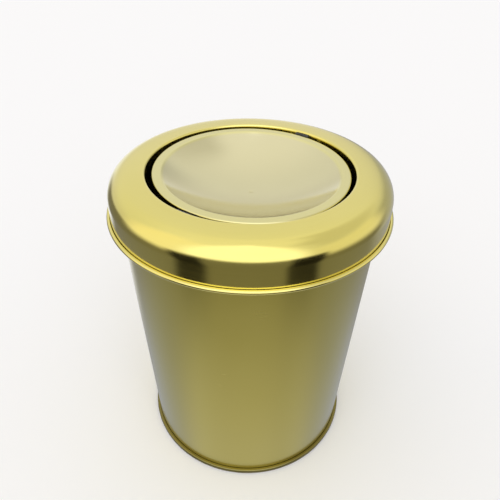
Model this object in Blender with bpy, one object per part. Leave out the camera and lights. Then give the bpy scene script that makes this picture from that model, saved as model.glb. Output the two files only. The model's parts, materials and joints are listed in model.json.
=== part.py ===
"""Round swing-lid waste bin in gold-lacquered sheet steel, with a lift-off lid and a tumbling dished flap.

Frame: metres, +Z up, origin at the centre of the foot ring, +X along the flap's pivot axis.
The constants below are in millimetres. Every sheet-metal piece is drawn as the middle line of its sheet.
"""

import math

import bmesh
import bpy
from mathutils import Matrix, Vector

MM = 0.001

# Driving dimensions, in millimetres.
LID_R = 100.0  # outside of the lid's skirt
LID_TOP = 238.1  # highest ring of the lid, round its hole
HOLE_R = 73.5  # clear radius of the lid's hole
FLAP_R = 70.0  # outside of the flap's turned-down edge
FLAP_DROP = 2.4  # flap's rim below the lid's top
FLAP_PLAY = 1.1  # the flap lies this far along its pins, towards the right-hand bush
FLAP_TILT = math.radians(0.9)  # and hangs turned this much about them, its -Y edge low
DISH_R = 64.0
DISH_DEPTH = 19.0
PIVOT_DROP = 5.0  # pivot axis below the flap's rim
FOOT_WALL_R = 82.0  # outside of the wall at the base seam
WALL_TAPER = 0.0569  # growth of the wall's radius for each millimetre of height
SEAM_R = 84.5  # outside of the base seam
SEAM_HEIGHT = 3.6
SHEET = 0.5  # gauge of the wall, base, lid and flap
GAP = 0.3  # daylight left between pieces that touch on the real bin

# Forming details.
CROWN_ARCS = ((200.0, 2.5), (60.0, 7.0))  # radius and outer slope of each arc, hole outwards
SKIRT_END = 209.0  # height of the hem bead's centre
HEM_R = 1.5
HOLE_BEND = 1.5
COLLAR_DEPTH = 16.2
COLLAR_CURL_R = 1.25
RIM_CURL_R = 2.3
WIRE_R = 1.5
HOOK_BEND = 0.85  # the wall's turned-out foot, held inside the base seam
HOOK_LENGTH = 0.8
HOOK_CLEARANCE = 0.5
SEAM_WIDTH = 5.0  # the wall's side lock seam
SEAM_PROUD = 0.6
SEAM_ANGLE = math.radians(75.0)
SEAM_LOW = 12.0  # its lower end, and the height over which each end fades into the wall
SEAM_RAMP = 4.0
SEAM_BELOW_RIM = 10.0
PANEL_HEIGHT = 5.0  # base panel above the floor, and the raised ring pressed in it
PANEL_RING_HEIGHT = 1.2
PANEL_RING = (58.0, 61.0, 72.0, 75.0)
PANEL_BEND = 0.8
FLAP_EDGE_DEPTH = 9.0
FLAP_BEND = 1.2
RIM_FILLET = 3.0
WELD_MARK_R = 2.4
WELD_MARK_DEPTH = 0.5

# Pivot hardware.
STRAP_WIDTH = 12.0
STRAP_GAUGE = 1.0
STRAP_REACH = 68.4  # middle of the strap's upright ends
STRAP_BEND = 2.5
STRAP_CORNER_DROP = 2.8  # centre of the strap's corner below the pivot axis
STRAP_TIP_GAP = 0.9
STRAP_HUG = 44.0  # the strap follows the dish out to here
WELD_HOLE_R = 3.0  # plug weld, strap to dish
PIN_R = 2.0
PIN_HEAD_R = 3.0
PIN_HEAD_LENGTH = 1.2
PIN_HOLE_R = 2.3
PIN_GROOVE_R = 1.5
PIN_TIP = 0.8
BUSH_BORE_R = 2.08
BUSH_BARREL_R = 2.9
BUSH_HOLE_R = 3.2
BUSH_FLANGE = 1.0
BUSH_WIDTH = 12.0
BUSH_TOP = 6.0  # flange edge above the pivot axis
BUSH_BOTTOM = 4.5
BUSH_CORNER_R = 1.5
BUSH_PROUD = 0.4  # barrel beyond the backing plate
CLIP_R = 4.0
CLIP_BORE_R = 1.8
CLIP_GAUGE = 0.6
CLIP_OPENING = math.radians(70.0)
PLATE_GAUGE = 1.0
PLATE_HALF_ANGLE = math.radians(12.5)
PLATE_BOTTOM = 4.3  # plate edges below and above the pivot axis
PLATE_TOP = 4.5
RIVET_ANGLE = math.radians(9.0)
RIVET_R = 1.25
RIVET_HEAD_R = 2.2
RIVET_HEAD = 0.6
RIVET_DOME_R = 1.5  # flat top of a rivet's head
DRILL_MARGIN = 2.0  # a drill starts and stops this far clear of the sheet
CHAMFER = 0.4

# Facets round each kind of turned piece.
AROUND_SHELL = 36
AROUND_PIN = 16
AROUND_RIVET = 12
SHARP_ANGLE = math.radians(35.0)
MERGE = 1e-4

# Sizes worked out from the driving dimensions.
HALF_SHEET = SHEET / 2
FLAP_TOP = LID_TOP - FLAP_DROP
PIVOT_Z = FLAP_TOP - PIVOT_DROP
DISH_SPHERE_R = (DISH_R**2 + DISH_DEPTH**2) / (2 * DISH_DEPTH)
DISH_CENTRE_Z = FLAP_TOP - HALF_SHEET - DISH_DEPTH + DISH_SPHERE_R
PLATE_R = HOLE_R + SHEET + GAP
BUSH_END = PLATE_R + PLATE_GAUGE + BUSH_PROUD
BUSH_FACE = HOLE_R - GAP - (HOLE_R - math.sqrt(HOLE_R**2 - (BUSH_WIDTH / 2) ** 2))
CLIP_INNER_FACE = BUSH_END + GAP + FLAP_PLAY
PIN_HEAD_FACE = STRAP_REACH - STRAP_GAUGE / 2 - GAP


def clear_scene():
    for old in list(bpy.data.objects):
        bpy.data.objects.remove(old, do_unlink=True)


def metal(name, colour, roughness):
    material = bpy.data.materials.new(name)
    material.use_nodes = True
    shader = material.node_tree.nodes["Principled BSDF"]
    shader.inputs["Base Color"].default_value = (*colour, 1.0)
    shader.inputs["Metallic"].default_value = 1.0
    shader.inputs["Roughness"].default_value = roughness
    return material


def plastic(name, colour, roughness):
    material = metal(name, colour, roughness)
    material.node_tree.nodes["Principled BSDF"].inputs["Metallic"].default_value = 0.0
    return material


def arc(centre, radius, start, end, steps):
    """Points on an arc in the radius-height plane, angles in degrees, both ends included."""
    angles = [math.radians(start + (end - start) * i / steps) for i in range(steps + 1)]
    return [(centre[0] + radius * math.cos(a), centre[1] + radius * math.sin(a)) for a in angles]


def sheet_outline(line, gauge):
    """Closed outline of a sheet of this gauge whose middle line is given, in the radius-height plane."""
    points = [Vector(p) for p in line]
    left, right = [], []
    for i, point in enumerate(points):
        before = (point - points[i - 1]).normalized() if i else None
        after = (points[i + 1] - point).normalized() if i + 1 < len(points) else None
        before = before or after
        after = after or before
        along = (before + after).normalized()
        stretch = 1.0 / max(along.dot(after), 0.5)
        side = Vector((-along.y, along.x)) * (gauge / 2 * stretch)
        left.append(point + side)
        right.append(point - side)
    return [tuple(p) for p in left + right[::-1]]


def disc_outline(line, gauge):
    """Outline of a sheet whose middle line starts on the axis: it runs from the axis and back to it."""
    outline = sheet_outline(line, gauge)
    half = len(line)
    outline[0] = (0.0, outline[0][1])
    outline[2 * half - 1] = (0.0, outline[2 * half - 1][1])
    return outline


def add_object(name, mesh_builder, material):
    """Links one named object whose mesh, built in millimetres, is turned face out and brought to metres."""
    bmesh.ops.recalc_face_normals(mesh_builder, faces=mesh_builder.faces)
    if mesh_builder.calc_volume(signed=True) < 0:
        bmesh.ops.reverse_faces(mesh_builder, faces=mesh_builder.faces)
    mesh_builder.transform(Matrix.Scale(MM, 4))
    mesh = bpy.data.meshes.new(name)
    mesh_builder.to_mesh(mesh)
    mesh_builder.free()
    mesh.shade_smooth()
    mesh.set_sharp_from_angle(angle=SHARP_ANGLE)
    mesh.materials.append(material)
    piece = bpy.data.objects.new(name, mesh)
    bpy.context.scene.collection.objects.link(piece)
    return piece


def turned(outline, around, closed=True):
    """Solid of revolution about Z. A closed outline makes a ring, an open one ends on the axis."""
    builder = bmesh.new()
    verts = [builder.verts.new((r, 0.0, z)) for r, z in outline]
    pairs = zip(verts, verts[1:] + verts[:1]) if closed else zip(verts, verts[1:])
    edges = [builder.edges.new(pair) for pair in pairs]
    bmesh.ops.spin(
        builder,
        geom=verts + edges,
        cent=(0, 0, 0),
        axis=(0, 0, 1),
        angle=2 * math.pi,
        steps=around,
        use_merge=True,
    )
    bmesh.ops.remove_doubles(builder, verts=builder.verts, dist=MERGE)
    return builder


def slab(outline, depth):
    """Flat outline in the XZ plane, extruded to both sides of it along Y."""
    builder = bmesh.new()
    face = builder.faces.new([builder.verts.new((x, -depth / 2, z)) for x, z in outline])
    grown = bmesh.ops.extrude_face_region(builder, geom=[face])
    moved = [v for v in grown["geom"] if isinstance(v, bmesh.types.BMVert)]
    bmesh.ops.translate(builder, verts=moved, vec=(0, depth, 0))
    return builder


def along_x(builder, side, height):
    """Turns a piece that was made about Z so that it lies on the pivot axis, towards +X or -X."""
    builder.transform(Matrix.Translation((0, 0, height)) @ Matrix.Rotation(side * math.pi / 2, 4, "Y"))
    return builder


def combine(piece, name, tool_mesh, operation):
    """Cuts a helper solid from the piece, or joins it on, with a Boolean modifier."""
    tool = add_object(name, tool_mesh, piece.data.materials[0])
    tool.hide_render = True
    tool.display_type = "WIRE"
    step = piece.modifiers.new(name, "BOOLEAN")
    step.operation = operation
    step.solver = "EXACT"
    step.object = tool


def rod(radius, start, end, around):
    return turned([(0, start), (radius, start), (radius, end), (0, end)], around, closed=False)


def drill(piece, name, radius, start, end, turn, around=AROUND_PIN):
    """Cuts a round hole that runs radially from start to end at the pivot's height, turned about Z."""
    cutter = along_x(rod(radius, start, end, around), 1, PIVOT_Z)
    cutter.transform(Matrix.Rotation(turn, 4, "Z"))
    combine(piece, name, cutter, "DIFFERENCE")


def wall_radius(height):
    """Middle line of the tapered wall."""
    return FOOT_WALL_R - HALF_SHEET + WALL_TAPER * (height - SEAM_HEIGHT)


def lid_arcs():
    """Centre, radius and slopes of the tangent arcs of the lid's outside, from its hole to its skirt."""
    arcs = []
    reach, height, slope = HOLE_R + HOLE_BEND, LID_TOP, 0.0
    for bend, end_slope in CROWN_ARCS:
        start, end = math.radians(slope), math.radians(end_slope)
        centre = (reach - bend * math.sin(start), height - bend * math.cos(start))
        arcs.append((centre, bend, slope, end_slope))
        reach = centre[0] + bend * math.sin(end)
        height = centre[1] + bend * math.cos(end)
        slope = end_slope
    start = math.radians(slope)
    bend = (LID_R - reach) / (1 - math.sin(start))
    arcs.append(((LID_R - bend, height - bend * math.cos(start)), bend, slope, 90.0))
    return arcs


def rim_centre():
    """Centre of the rolled rim: tangent to the wall, and just touching the inside of the lid's shoulder."""
    shoulder_centre, shoulder_r, _, _ = lid_arcs()[-1]
    lean = math.atan(WALL_TAPER)
    middle_r = RIM_CURL_R - HALF_SHEET
    reach = shoulder_r - SHEET - RIM_CURL_R - GAP
    height = shoulder_centre[1]
    for _ in range(20):
        radius = wall_radius(height + middle_r * math.sin(lean)) + middle_r * math.cos(lean)
        height = shoulder_centre[1] + math.sqrt(reach**2 - (radius - shoulder_centre[0]) ** 2)
    return radius, height, math.degrees(lean)


def body_line():
    """The wall's sheet: base hook, straight tapered wall, rim rolled outwards round its wire."""
    rim_r, rim_z, lean = rim_centre()
    hook_z = SHEET + HOOK_CLEARANCE + HALF_SHEET
    foot_r = wall_radius(hook_z + HOOK_BEND)
    hook = [(foot_r + HOOK_BEND + HOOK_LENGTH, hook_z)]
    hook += arc((foot_r + HOOK_BEND, hook_z + HOOK_BEND), HOOK_BEND, 270, 180, 2)
    seam_high = rim_z - SEAM_BELOW_RIM
    wall_heights = [SEAM_LOW - SEAM_RAMP, SEAM_LOW, seam_high, seam_high + SEAM_RAMP]
    wall = [(wall_radius(z), z) for z in wall_heights]
    return hook + wall + arc((rim_r, rim_z), RIM_CURL_R - HALF_SHEET, 180 - lean, -125, 8)


def make_body_shell(material):
    """Tapered wall with its side lock seam, a flat strip that stands proud between base seam and rim."""
    outline = sheet_outline(body_line(), SHEET)
    builder = turned(outline, AROUND_SHELL)
    seam_high = rim_centre()[1] - SEAM_BELOW_RIM
    half_angle = SEAM_WIDTH / 2 / LID_R
    ahead = Matrix.Rotation(SEAM_ANGLE, 3, "Z") @ Vector((1, 0, 0))
    for edge in (-1.5, -1.0, 1.0, 1.5):
        normal = Matrix.Rotation(SEAM_ANGLE + edge * half_angle, 3, "Z") @ Vector((0, 1, 0))
        near = [f for f in builder.faces if f.calc_center_median().xy.dot(ahead.xy) > 0]
        near_verts = {v for f in near for v in f.verts}
        near_edges = {e for f in near for e in f.edges}
        bmesh.ops.bisect_plane(
            builder,
            geom=list(near_verts) + list(near_edges) + near,
            dist=1e-5,
            plane_co=(0, 0, 0),
            plane_no=normal,
        )
    for vert in builder.verts:
        turn = math.atan2(vert.co.y, vert.co.x) - SEAM_ANGLE
        outside = vert.co.xy.length > wall_radius(vert.co.z)
        along_seam = SEAM_LOW - GAP < vert.co.z < seam_high + GAP
        if abs(turn) < 1.1 * half_angle and outside and along_seam:
            vert.co.xy *= 1 + SEAM_PROUD / vert.co.xy.length
    return add_object("body_shell", builder, material)


def make_rim_wire(material):
    rim_r, rim_z, _ = rim_centre()
    return add_object("rim_wire", turned(arc((rim_r, rim_z), WIRE_R, 0, 315, 7), AROUND_SHELL), material)


def make_base_plate(material):
    """Countersunk panel with a raised ring; its edge goes down inside the wall and up round the hook."""
    bend = PANEL_BEND
    chuck_r = wall_radius(0) - SHEET - GAP
    outer_r = SEAM_R - HALF_SHEET
    lip_z = SEAM_HEIGHT - HALF_SHEET
    floor_z = HALF_SHEET
    ring_z = PANEL_HEIGHT + PANEL_RING_HEIGHT
    line = [(0.0, PANEL_HEIGHT)] + list(zip(PANEL_RING, (PANEL_HEIGHT, ring_z, ring_z, PANEL_HEIGHT)))
    line += arc((chuck_r - bend, PANEL_HEIGHT - bend), bend, 90, 0, 2)
    line += arc((chuck_r + bend, floor_z + bend), bend, 180, 270, 2)
    line += arc((outer_r - bend, floor_z + bend), bend, 270, 360, 2)
    line += arc((outer_r - bend, lip_z - bend), bend, 0, 90, 2)
    line += [(wall_radius(SEAM_HEIGHT) + HALF_SHEET + GAP, lip_z)]
    return add_object("base_plate", turned(disc_outline(line, SHEET), AROUND_SHELL, closed=False), material)


def lid_line():
    """The lid's sheet: hem bead, skirt, shoulder, crown, turned-down collar and its safe edge."""
    hem_middle = HEM_R - HALF_SHEET
    skirt_r = LID_R - HALF_SHEET
    bend_middle = HOLE_BEND - HALF_SHEET
    curl_middle = COLLAR_CURL_R - HALF_SHEET
    collar_r = HOLE_R + HALF_SHEET
    line = arc((skirt_r + hem_middle, SKIRT_END), hem_middle, 115, -180, 7)
    for (centre, bend, inner_slope, outer_slope), steps in zip(lid_arcs()[::-1], (6, 2, 2)):
        outer_line = arc(centre, bend - HALF_SHEET, 90 - outer_slope, 90 - inner_slope, steps)
        line += outer_line if outer_slope == 90 else outer_line[1:]
    line += arc((collar_r + bend_middle, LID_TOP - HOLE_BEND), bend_middle, 90, 180, 2)[1:]
    line += arc((collar_r + curl_middle, LID_TOP - COLLAR_DEPTH + COLLAR_CURL_R), curl_middle, 180, 360, 3)
    return line


def make_lid_ring(material):
    """Lid with the holes for both bushes and all four rivets drilled through its collar."""
    lid = add_object("lid_ring", turned(sheet_outline(lid_line(), SHEET), AROUND_SHELL), material)
    for side, half_turn in (("right", 0.0), ("left", math.pi)):
        inner, outer = HOLE_R - DRILL_MARGIN, HOLE_R + DRILL_MARGIN
        drill(lid, f"collar_bore_{side}", BUSH_HOLE_R, inner, outer, half_turn)
        for sign in (-1, 1):
            name = f"collar_rivet_hole_{side}_{'low' if sign < 0 else 'high'}"
            turn = half_turn + sign * RIVET_ANGLE
            drill(lid, name, RIVET_R + GAP, inner, outer, turn, AROUND_RIVET)
    return lid


def dish_line():
    """The flap's sheet: dish with a weld mark in its middle, filleted into a flat rim, edge turned down."""
    rim_z = FLAP_TOP - HALF_SHEET
    fillet_z = rim_z - RIM_FILLET
    centre_gap = DISH_SPHERE_R + RIM_FILLET
    fillet_r = math.sqrt(centre_gap**2 - (DISH_CENTRE_Z - fillet_z) ** 2)
    meeting = math.asin(fillet_r / centre_gap)
    mark = math.asin(WELD_MARK_R / DISH_SPHERE_R)
    middle = DISH_CENTRE_Z - DISH_SPHERE_R - WELD_MARK_DEPTH
    start, end = -90 + math.degrees(mark), -90 + math.degrees(meeting)
    bend_middle = FLAP_BEND - HALF_SHEET
    edge_r = FLAP_R - HALF_SHEET
    line = [(0.0, middle), (WELD_MARK_R / 2, middle + WELD_MARK_DEPTH * 0.4)]
    line += arc((0.0, DISH_CENTRE_Z), DISH_SPHERE_R, start, end, 8)
    line += arc((fillet_r, fillet_z), RIM_FILLET, 90 + math.degrees(meeting), 90, 2)[1:]
    line += arc((edge_r - bend_middle, rim_z - bend_middle), bend_middle, 90, 0, 2)
    line += [(edge_r, FLAP_TOP - FLAP_EDGE_DEPTH)]
    return line


def place_flap(builder):
    """Brings a piece of the flap from the level, centred place it is drawn in to where the flap hangs."""
    tilt = Matrix.Translation((FLAP_PLAY, 0, PIVOT_Z)) @ Matrix.Rotation(FLAP_TILT, 4, "X")
    builder.transform(tilt @ Matrix.Translation((0, 0, -PIVOT_Z)))
    return builder


def make_flap_dish(material):
    outline = disc_outline(dish_line(), SHEET)
    dish = add_object("flap_dish", place_flap(turned(outline, AROUND_SHELL, closed=False)), material)
    for side, half_turn, play in (("right", 0.0, FLAP_PLAY), ("left", math.pi, -FLAP_PLAY)):
        inner, outer = FLAP_R - DRILL_MARGIN + play, FLAP_R + DRILL_MARGIN + play
        drill(dish, f"edge_hole_{side}", PIN_HOLE_R, inner, outer, half_turn)
    return dish


def make_flap_strap(material):
    """Pressed strap: it follows the dish, runs out below the rim and turns up inside the flap's edge."""
    hug_r = DISH_SPHERE_R + HALF_SHEET + GAP + STRAP_GAUGE / 2
    corner = (STRAP_REACH - STRAP_BEND, PIVOT_Z - STRAP_CORNER_DROP)
    hug_end = -90 + math.degrees(math.asin(STRAP_HUG / hug_r))
    half = arc((0.0, DISH_CENTRE_Z), hug_r, -90, hug_end, 6)
    half += arc(corner, STRAP_BEND, 275, 360, 4)
    half += [(STRAP_REACH, FLAP_TOP - SHEET - STRAP_TIP_GAP)]
    line = [(-x, z) for x, z in half[:0:-1]] + half
    outline = sheet_outline(line, STRAP_GAUGE)
    strap = add_object("flap_strap", place_flap(slab(outline, STRAP_WIDTH)), material)
    for side, half_turn, play in (("right", 0.0, FLAP_PLAY), ("left", math.pi, -FLAP_PLAY)):
        inner, outer = STRAP_REACH - DRILL_MARGIN + play, STRAP_REACH + DRILL_MARGIN + play
        drill(strap, f"strap_hole_{side}", PIN_HOLE_R, inner, outer, half_turn)
    bottom = DISH_CENTRE_Z - hug_r
    weld_hole = place_flap(rod(WELD_HOLE_R, bottom - STRAP_GAUGE, bottom + STRAP_GAUGE, AROUND_PIN))
    combine(strap, "weld_hole", weld_hole, "DIFFERENCE")
    return strap


def make_pivot_pin(side_name, side, material):
    """Headed pin: head inside the strap, shank out through strap, edge and bush, groove for its clip."""
    groove_start = CLIP_INNER_FACE - GAP
    groove_end = CLIP_INNER_FACE + CLIP_GAUGE + GAP
    tip = groove_end + PIN_TIP
    outline = [
        (0.0, PIN_HEAD_FACE - PIN_HEAD_LENGTH),
        (PIN_HEAD_R - CHAMFER, PIN_HEAD_FACE - PIN_HEAD_LENGTH),
        (PIN_HEAD_R, PIN_HEAD_FACE - PIN_HEAD_LENGTH + CHAMFER),
        (PIN_HEAD_R, PIN_HEAD_FACE),
        (PIN_R, PIN_HEAD_FACE),
        (PIN_R, groove_start),
        (PIN_GROOVE_R, groove_start),
        (PIN_GROOVE_R, groove_end),
        (PIN_R, groove_end),
        (PIN_R, tip - CHAMFER),
        (PIN_R - CHAMFER, tip),
        (0.0, tip),
    ]
    builder = along_x(turned(outline, AROUND_PIN, closed=False), side, PIVOT_Z)
    return add_object(f"pivot_pin_{side_name}", place_flap(builder), material)


def make_pin_clip(side_name, side, material):
    """E-clip: a flat ring, open on one side, that snaps into the pin's groove."""
    steps = 14
    sweep = 2 * math.pi - CLIP_OPENING
    angles = [math.pi / 2 + CLIP_OPENING / 2 + sweep * i / steps for i in range(steps + 1)]
    outline = [(CLIP_R * math.cos(a), CLIP_R * math.sin(a)) for a in angles]
    outline += [(CLIP_BORE_R * math.cos(a), CLIP_BORE_R * math.sin(a)) for a in reversed(angles)]
    builder = slab(outline, CLIP_GAUGE)
    middle = side * (CLIP_INNER_FACE + CLIP_GAUGE / 2)
    builder.transform(Matrix.Translation((middle, 0, PIVOT_Z)) @ Matrix.Rotation(math.pi / 2, 4, "Z"))
    return add_object(f"pin_clip_{side_name}", place_flap(builder), material)


def rounded_rectangle(left, right, low, high, radius):
    corners = [(right, high, 0), (left, high, 90), (left, low, 180), (right, low, 270)]
    outline = []
    for x, z, start in corners:
        centre = (x - math.copysign(radius, x), z - math.copysign(radius, z))
        outline += arc(centre, radius, start, start + 90, 3)
    return outline


def make_pivot_bush(side_name, side, material):
    """Plastic bush: flange in the gap between collar and flap, barrel out through collar and plate."""
    half_width = BUSH_WIDTH / 2
    flange_outline = rounded_rectangle(-half_width, half_width, -BUSH_BOTTOM, BUSH_TOP, BUSH_CORNER_R)
    flange = slab(flange_outline, BUSH_FLANGE)
    flange_middle = BUSH_FACE - BUSH_FLANGE / 2
    place = Matrix.Translation((side * flange_middle, 0, PIVOT_Z))
    flange.transform(place @ Matrix.Rotation(math.pi / 2, 4, "Z"))
    bush = add_object(f"pivot_bush_{side_name}", flange, material)
    barrel_outline = [(0, flange_middle), (BUSH_BARREL_R, flange_middle)]
    barrel_outline += [(BUSH_BARREL_R, BUSH_END - CHAMFER), (BUSH_BARREL_R - CHAMFER, BUSH_END)]
    barrel_outline += [(0, BUSH_END)]
    barrel_mesh = along_x(turned(barrel_outline, AROUND_PIN, closed=False), side, PIVOT_Z)
    combine(bush, f"bush_barrel_{side_name}", barrel_mesh, "UNION")
    turn = 0.0 if side > 0 else math.pi
    inner, outer = BUSH_FACE - BUSH_FLANGE - DRILL_MARGIN, BUSH_END + DRILL_MARGIN
    drill(bush, f"bush_bore_{side_name}", BUSH_BORE_R, inner, outer, turn)
    return bush


def make_pivot_plate(side_name, side, material):
    """Backing plate curved to the collar, drilled for the bush and two rivets."""
    inner, outer = PLATE_R, PLATE_R + PLATE_GAUGE
    low, high = PIVOT_Z - PLATE_BOTTOM, PIVOT_Z + PLATE_TOP
    turn = 0.0 if side > 0 else math.pi
    builder = bmesh.new()
    section = [(inner, low), (outer, low), (outer, high), (inner, high)]
    face = builder.faces.new([builder.verts.new((r, 0.0, z)) for r, z in section])
    bmesh.ops.rotate(
        builder,
        verts=face.verts,
        cent=(0, 0, 0),
        matrix=Matrix.Rotation(turn - PLATE_HALF_ANGLE, 3, "Z"),
    )
    bmesh.ops.spin(
        builder,
        geom=[face],
        cent=(0, 0, 0),
        axis=(0, 0, 1),
        angle=2 * PLATE_HALF_ANGLE,
        steps=10,
    )
    bmesh.ops.remove_doubles(builder, verts=builder.verts, dist=MERGE)
    plate = add_object(f"pivot_plate_{side_name}", builder, material)
    start, end = inner - DRILL_MARGIN, outer + DRILL_MARGIN
    drill(plate, f"plate_bore_{side_name}", BUSH_HOLE_R, start, end, turn)
    for sign in (-1, 1):
        name = f"plate_rivet_hole_{side_name}_{'low' if sign < 0 else 'high'}"
        drill(plate, name, RIVET_R + GAP, start, end, turn + sign * RIVET_ANGLE, AROUND_RIVET)
    return plate


def make_plate_rivet(index, turn, material):
    """Rivet through collar and plate: low head in the gap, formed tail behind the plate."""
    head_face = HOLE_R - GAP
    tail_face = PLATE_R + PLATE_GAUGE + GAP
    outline = [
        (0.0, head_face - RIVET_HEAD),
        (RIVET_DOME_R, head_face - RIVET_HEAD),
        (RIVET_HEAD_R, head_face - RIVET_HEAD / 2),
        (RIVET_HEAD_R, head_face),
        (RIVET_R, head_face),
        (RIVET_R, tail_face),
        (RIVET_HEAD_R, tail_face),
        (RIVET_HEAD_R, tail_face + RIVET_HEAD / 2),
        (RIVET_DOME_R, tail_face + RIVET_HEAD),
        (0.0, tail_face + RIVET_HEAD),
    ]
    builder = along_x(turned(outline, AROUND_RIVET, closed=False), 1, PIVOT_Z)
    builder.transform(Matrix.Rotation(turn, 4, "Z"))
    return add_object(f"plate_rivet_{index}", builder, material)


def main():
    clear_scene()
    satin_gold = metal("satin_gold", (0.62, 0.55, 0.25), 0.38)
    bright_gold = metal("bright_gold", (0.83, 0.74, 0.38), 0.28)
    dark_gold = metal("dark_gold", (0.32, 0.28, 0.11), 0.40)
    zinc = metal("zinc_steel", (0.62, 0.62, 0.60), 0.42)
    nylon = plastic("grey_nylon", (0.09, 0.09, 0.09), 0.55)

    make_body_shell(satin_gold)
    make_rim_wire(zinc)
    make_base_plate(dark_gold)
    make_lid_ring(bright_gold)
    make_flap_dish(bright_gold)
    make_flap_strap(zinc)
    for side_name, side in (("right", 1), ("left", -1)):
        make_pivot_pin(side_name, side, zinc)
        make_pin_clip(side_name, side, zinc)
        make_pivot_bush(side_name, side, nylon)
        make_pivot_plate(side_name, side, zinc)
    turns = [half_turn + sign * RIVET_ANGLE for half_turn in (0.0, math.pi) for sign in (-1, 1)]
    for index, turn in enumerate(turns, start=1):
        make_plate_rivet(index, turn, zinc)


main()
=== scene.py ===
import json
import math

import bmesh
import bpy
from mathutils import Matrix, Vector, noise


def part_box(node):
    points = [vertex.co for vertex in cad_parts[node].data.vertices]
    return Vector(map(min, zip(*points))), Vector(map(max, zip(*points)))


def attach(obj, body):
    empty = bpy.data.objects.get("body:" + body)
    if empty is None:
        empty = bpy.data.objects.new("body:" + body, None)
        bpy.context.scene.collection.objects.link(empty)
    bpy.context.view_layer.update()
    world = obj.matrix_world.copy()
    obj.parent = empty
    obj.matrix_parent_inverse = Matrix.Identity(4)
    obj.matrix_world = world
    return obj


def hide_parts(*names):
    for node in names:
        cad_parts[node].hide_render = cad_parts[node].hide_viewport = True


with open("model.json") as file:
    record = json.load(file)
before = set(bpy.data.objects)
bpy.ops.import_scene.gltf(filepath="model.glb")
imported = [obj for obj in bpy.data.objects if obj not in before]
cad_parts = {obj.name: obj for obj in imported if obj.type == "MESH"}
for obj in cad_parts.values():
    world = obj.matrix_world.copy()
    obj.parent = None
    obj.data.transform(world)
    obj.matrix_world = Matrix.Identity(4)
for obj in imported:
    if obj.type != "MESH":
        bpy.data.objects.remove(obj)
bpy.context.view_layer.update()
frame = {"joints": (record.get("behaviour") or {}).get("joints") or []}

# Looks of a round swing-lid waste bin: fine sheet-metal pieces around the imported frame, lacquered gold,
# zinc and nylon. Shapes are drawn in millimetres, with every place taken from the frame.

MM = 0.001

# Sheet and wire sizes, in millimetres.
SHEET = 0.5
HALF_SHEET = SHEET / 2
GAP = 0.3
HEM_R = 1.5
LID_BAND = 26.5  # from the hole to the skirt
CROWN_ARCS = ((200.0, 2.5), (60.0, 7.0))  # radius and outer slope of each arc, hole outwards
HOLE_BEND = 1.5
COLLAR_DEPTH = 16.2
COLLAR_CURL_R = 1.25
RIM_CURL_R = 2.3
WIRE_R = 1.5
WALL_TAPER = 0.0569
SEAM_LAP = 2.5  # base seam beyond the wall
SEAM_HEIGHT = 3.6
HOOK_BEND = 0.85
HOOK_LENGTH = 0.8
HOOK_CLEARANCE = 0.5
SIDE_SEAM_WIDTH = 5.0
SIDE_SEAM_PROUD = 0.6
SIDE_SEAM_ANGLE = math.radians(75.0)
SIDE_SEAM_LOW = 12.0
SIDE_SEAM_RAMP = 4.0
SIDE_SEAM_BELOW_RIM = 10.0
WAVE_DEPTH = 0.16  # slight waviness of the rolled wall
WAVES_AROUND = 2.2
WAVE_HEIGHT = 90.0
WAVE_FADE_LOW = (6.0, 30.0)  # it grows between these heights
WAVE_FADE_HIGH = (25.0, 4.0)  # and fades between these depths below the rim
PANEL_HEIGHT = 5.0
PANEL_RING_HEIGHT = 1.2
PANEL_RING = (58.0, 61.0, 72.0, 75.0)
PANEL_BEND = 0.8
FLAP_DROP = 2.4  # flap's rim below the lid's top
FLAP_TILT = math.radians(0.9)  # how far the flap hangs turned about its pivots, its -Y edge low
FLAP_BEND = 1.2
FLAP_EDGE_DEPTH = 9.0
DISH_MARGIN = 6.0  # flat rim outside the dish's theoretical edge
DISH_DEPTH = 19.0
RIM_FILLET = 3.0
RIM_START = 64.5  # along the sheet from the dish's middle
WELD_MARK_R = 2.4
WELD_MARK_DEPTH = 0.5
STRAP_WIDTH = 12.0
STRAP_GAUGE = 1.0
STRAP_BEND = 2.5
STRAP_HUG = 44.0
STRAP_CORNER_DROP = 2.8
STRAP_TIP_GAP = 0.9
STRAP_EDGE_R = 0.18
WELD_HOLE_R = 3.0
PIN_R = 2.0
PIN_HEAD_R = 3.0
PIN_HEAD_LENGTH = 1.2
PIN_HOLE_R = 2.3
PIN_GROOVE_R = 1.5
PIN_EDGE_R = 0.3
BUSH_BORE_R = 2.08
BUSH_BARREL_R = 2.9
BUSH_HOLE_R = 3.2
BUSH_FLANGE = 1.0
BUSH_CORNER_R = 1.5
BUSH_EDGE_R = 0.2
BARREL_EDGE_R = 0.35
CLIP_BORE_R = 1.8
CLIP_OPENING = math.radians(70.0)
CLIP_EDGE_R = 0.12
PLATE_GAUGE = 1.0
PLATE_EDGE_R = 0.2
PLATE_HALF_ANGLE = math.radians(12.5)
RIVET_ANGLE = math.radians(9.0)
RIVET_R = 1.25
RIVET_HEAD_R = 2.2
RIVET_HEAD = 0.6
DRILL_MARGIN = 2.0

# Facets round each kind of turned piece, and the angle from which an edge is shaded sharp.
AROUND_SHELL = 192
AROUND_PIN = 48
SHARP_FROM = math.radians(35.0)


def box_mm(node):
    low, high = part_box(node)
    return low / MM, high / MM


lid_low, lid_high = box_mm("lid_ring")
flap_low, flap_high = box_mm("flap_dish")
_, base_high = box_mm("base_plate")
strap_low, strap_high = box_mm("flap_strap")
swing = next(joint for joint in frame["joints"] if joint["name"] == "flap_swing")

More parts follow.
